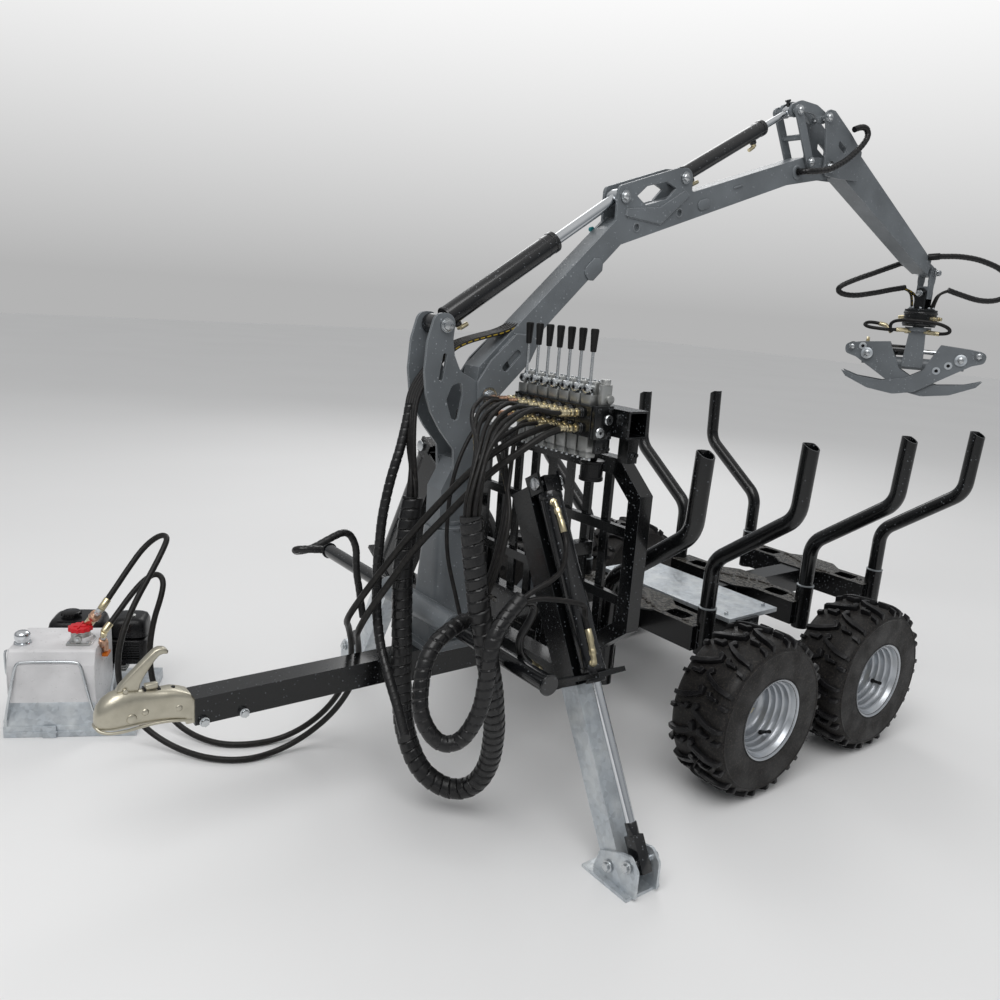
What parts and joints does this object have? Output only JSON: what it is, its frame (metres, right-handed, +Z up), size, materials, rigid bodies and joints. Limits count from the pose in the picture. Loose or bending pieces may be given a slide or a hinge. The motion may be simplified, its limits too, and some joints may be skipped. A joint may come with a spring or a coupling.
{
  "type": "forestry crane trailer",
  "caption": "Towed log trailer on bogie axles with stake bunks, headboard, stabiliser legs, a hydraulic loader crane with grapple, and a loose power pack",
  "frame": {"origin": "centre of the ball coupling's socket", "axes": "+X rearward along the drawbar, +Y to the far side of the picture, +Z up"},
  "size_m": [4.1117, 2.1409, 2.362],
  "materials": {
    "black_paint": "gloss black enamel",
    "grey_paint": "grey powder coat with fine speckle",
    "galvanised": "bright zinc plate",
    "zinc_steel": "zinc plated pressed steel",
    "steel_pins": "turned steel",
    "chrome": "hard chrome",
    "rim_silver": "silver paint",
    "tyre": "black tyre rubber",
    "aluminium": "cast aluminium",
    "grip_black": "black grip",
    "brass": "yellow zinc plated fittings",
    "hose": "black hydraulic hose",
    "tank_white": "white paint",
    "engine_black": "black engine covers"
  },
  "bodies": {
    "chassis": {"barrels": "black_paint", "bogie_beams": "black_paint", "bolsters": "black_paint", "bundle_inner": "hose", "bundle_outer": "hose", "bundle_thin": "hose", "column_base": "grey_paint", "coupling_body": "zinc_steel", "deck_plate": "galvanised", "fixings": "steel_pins", "frame_beam": "black_paint", "headboard": "black_paint", "hose_stub": "hose", "hose_supply_a": "hose", "hose_supply_b": "hose", "leg_sleeves": "black_paint", "pack_engine": "aluminium", "pack_shroud": "engine_black", "pack_tank": "tank_white", "pack_tray": "galvanised", "stakes": "black_paint", "valve_body": "black_paint", "valve_caps": "aluminium", "valve_fittings": "brass", "valve_grips": "grip_black", "valve_levers": "chrome"},
    "wheel_front_near": {"rim_front_near": "rim_silver", "tyre_front_near": "tyre"},
    "wheel_rear_near": {"rim_rear_near": "rim_silver", "tyre_rear_near": "tyre"},
    "wheel_front_far": {"rim_front_far": "rim_silver", "tyre_front_far": "tyre"},
    "wheel_rear_far": {"rim_rear_far": "rim_silver", "tyre_rear_far": "tyre"},
    "leg_near": {"leg_inner_near": "galvanised", "leg_rod_near": "chrome"},
    "leg_far": {"leg_inner_far": "galvanised", "leg_rod_far": "chrome"},
    "column": {"crane_column": "grey_paint", "column_pins": "steel_pins"},
    "lift_barrel": {"lift_barrel": "black_paint"},
    "lift_rod": {"lift_rod": "chrome"},
    "inner_boom": {"inner_boom": "grey_paint", "inner_boom_pins": "steel_pins", "hose_knee": "hose"},
    "outer_barrel": {"outer_barrel": "black_paint"},
    "outer_rod": {"outer_rod": "chrome"},
    "outer_boom": {"outer_boom": "grey_paint", "outer_boom_pins": "steel_pins"},
    "crank": {"crank_links": "grey_paint"},
    "arch": {"arch_link": "grey_paint"},
    "hanger": {"hanger_link": "grey_paint", "hose_tip_left": "hose", "hose_tip_right": "hose"},
    "rotator": {"rotator_head": "black_paint"},
    "grapple": {"grapple_frame": "grey_paint"},
    "claw_right": {"claw_right": "grey_paint"},
    "claw_left": {"claw_left": "grey_paint"},
    "grapple_barrel": {"grapple_barrel": "black_paint"},
    "grapple_rod": {"grapple_rod": "chrome"}
  },
  "joints": [
    {"name": "wheel_front_near", "type": "hinge", "parent": "chassis", "child": "wheel_front_near", "pos_m": [1.848, -0.605, -0.15], "axis": [0, 1, 0], "continuous": true},
    {"name": "wheel_rear_near", "type": "hinge", "parent": "chassis", "child": "wheel_rear_near", "pos_m": [2.482, -0.605, -0.15], "axis": [0, 1, 0], "continuous": true},
    {"name": "wheel_front_far", "type": "hinge", "parent": "chassis", "child": "wheel_front_far", "pos_m": [1.848, 0.605, -0.15], "axis": [0, 1, 0], "continuous": true},
    {"name": "wheel_rear_far", "type": "hinge", "parent": "chassis", "child": "wheel_rear_far", "pos_m": [2.482, 0.605, -0.15], "axis": [0, 1, 0], "continuous": true},
    {"name": "leg_near", "type": "slide", "parent": "chassis", "child": "leg_near", "axis": [0, -0.4848, -0.8746], "range_m": [-0.38, 0.04]},
    {"name": "leg_far", "type": "slide", "parent": "chassis", "child": "leg_far", "axis": [0, 0.4848, -0.8746], "range_m": [-0.38, 0.04]},
    {"name": "slew", "type": "hinge", "parent": "chassis", "child": "column", "pos_m": [1.024, 0, 0.41], "axis": [0, 0, 1], "range_deg": [-4, 170]},
    {"name": "boom_lift", "type": "hinge", "parent": "column", "child": "inner_boom", "pos_m": [1.103, 0, 0.829], "axis": [0, -1, 0], "range_deg": [-30, 30]},
    {"name": "lift_barrel_turn", "type": "hinge", "parent": "column", "child": "lift_barrel", "pos_m": [0.943, 0, 1.037], "axis": [0, -1, 0], "range_deg": [-31, 31]},
    {"name": "lift_rod_slide", "type": "slide", "parent": "lift_barrel", "child": "lift_rod", "axis": [0.8381, 0, 0.5456], "range_m": [-0.14, 0.14]},
    {"name": "outer_fold", "type": "hinge", "parent": "inner_boom", "child": "outer_boom", "pos_m": [2.695, 0, 1.717], "axis": [0, 1, 0], "range_deg": [-5, 65]},
    {"name": "outer_barrel_turn", "type": "hinge", "parent": "inner_boom", "child": "outer_barrel", "pos_m": [1.898, 0, 1.573], "axis": [0, 1, 0], "range_deg": [-1, 6]},
    {"name": "outer_rod_slide", "type": "slide", "parent": "outer_barrel", "child": "outer_rod", "axis": [0.8737, 0, 0.4864], "range_m": [-0.02, 0.2]},
    {"name": "crank_turn", "type": "hinge", "parent": "inner_boom", "child": "crank", "pos_m": [2.569, 0, 1.718], "axis": [0, 1, 0], "range_deg": [-6, 62]},
    {"name": "arch_turn", "type": "hinge", "parent": "outer_boom", "child": "arch", "pos_m": [2.647, 0, 1.892], "axis": [0, 1, 0], "range_deg": [-46, 5]},
    {"name": "hanger_swing", "type": "hinge", "parent": "outer_boom", "child": "hanger", "pos_m": [3.666, 0, 1.38], "axis": [0, 1, 0], "range_deg": [-50, 50]},
    {"name": "cross_swing", "type": "hinge", "parent": "hanger", "child": "rotator", "pos_m": [3.666, 0, 1.285], "axis": [1, 0, 0], "range_deg": [-30, 30]},
    {"name": "rotator_turn", "type": "hinge", "parent": "rotator", "child": "grapple", "pos_m": [3.666, 0, 1.109], "axis": [0, 0, 1], "continuous": true},
    {"name": "claw_open", "type": "hinge", "parent": "grapple", "child": "claw_right", "pos_m": [3.75971, -0.18233, 0.989], "axis": [-0.8894, -0.4571, 0], "range_deg": [0, 100]},
    {"name": "claw_left_open", "type": "hinge", "parent": "grapple", "child": "claw_left", "pos_m": [3.57229, 0.18233, 0.989], "axis": [0.8894, 0.4571, 0], "range_deg": [0, 101]},
    {"name": "grapple_barrel_turn", "type": "hinge", "parent": "claw_left", "child": "grapple_barrel", "pos_m": [3.53938, 0.24637, 1.014], "axis": [-0.8894, -0.4571, 0], "range_deg": [0, 101]},
    {"name": "grapple_rod_slide", "type": "slide", "parent": "grapple_barrel", "child": "grapple_rod", "axis": [0.4571, -0.8894, 0], "range_m": [-0.21, 0]}
  ],
  "couplings": [
    {"joint": "lift_barrel_turn", "follows": "boom_lift", "ratio": 0.975},
    {"joint": "lift_rod_slide", "follows": "boom_lift", "m_per_rad": -0.2504},
    {"joint": "outer_barrel_turn", "follows": "outer_fold", "ratio": 0.08},
    {"joint": "outer_rod_slide", "follows": "outer_fold", "m_per_rad": 0.167},
    {"joint": "crank_turn", "follows": "outer_fold", "ratio": 0.93},
    {"joint": "arch_turn", "follows": "outer_fold", "ratio": -0.68},
    {"joint": "claw_left_open", "follows": "claw_open", "ratio": 1},
    {"joint": "grapple_barrel_turn", "follows": "claw_open", "ratio": 1},
    {"joint": "grapple_rod_slide", "follows": "claw_open", "m_per_rad": -0.1183}
  ]
}
